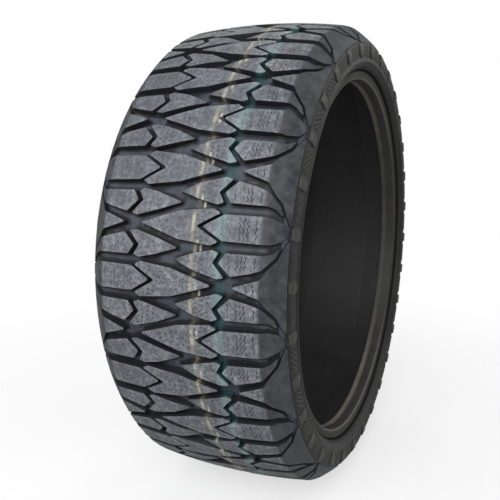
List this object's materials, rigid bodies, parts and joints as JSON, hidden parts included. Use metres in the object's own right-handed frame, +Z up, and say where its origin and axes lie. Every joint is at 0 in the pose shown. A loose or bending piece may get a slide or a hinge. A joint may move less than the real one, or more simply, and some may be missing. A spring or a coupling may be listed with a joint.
{
  "type": "all-terrain road tyre",
  "caption": "Low-profile all-terrain road tyre, unmounted, with arrow-shaped centre lugs, leaf-shaped groups of shoulder lugs, steel bead cores and layered belts and plies inside.",
  "frame": {"origin": "wheel centre: on the spin axis, midway between the beads", "axes": "+Y is the spin axis, +Z is up, and the tyre stands on its tread at -Z. The side the picture shows is -Y."},
  "size_m": [0.81, 0.3184, 0.81],
  "materials": {
    "tread_rubber": "matt grooved rubber with a faint bluish bloom",
    "sidewall_rubber": "satin black rubber",
    "chafer_rubber": "smooth hard black rubber",
    "liner_rubber": "dark smooth rubber with fine moulding ribs",
    "base_rubber": "matt black rubber",
    "filler_rubber": "hard matt rubber",
    "nylon_sheet": "rubber-dipped nylon cord sheet",
    "polyester_sheet": "rubber-dipped polyester cord sheet",
    "steel_cord_sheet": "rubber-coated brass-plated steel cord sheet",
    "bead_wire": "bronze-plated steel wire bundle"
  },
  "bodies": {
    "root": {"tread_cap": "tread_rubber", "tread_base": "base_rubber", "cap_ply": "nylon_sheet", "cap_strip_left": "nylon_sheet", "cap_strip_right": "nylon_sheet", "belt_upper": "steel_cord_sheet", "belt_lower": "steel_cord_sheet", "belt_wedge_left": "base_rubber", "belt_wedge_right": "base_rubber", "body_ply_outer": "polyester_sheet", "body_ply_inner": "polyester_sheet", "inner_liner": "liner_rubber", "bead_core_left": "bead_wire", "bead_core_right": "bead_wire", "bead_filler_left": "filler_rubber", "bead_filler_right": "filler_rubber", "chafer_left": "chafer_rubber", "chafer_right": "chafer_rubber", "sidewall_left": "sidewall_rubber", "sidewall_right": "sidewall_rubber", "tread_wing_left": "sidewall_rubber", "tread_wing_right": "sidewall_rubber"}
  },
  "joints": []
}
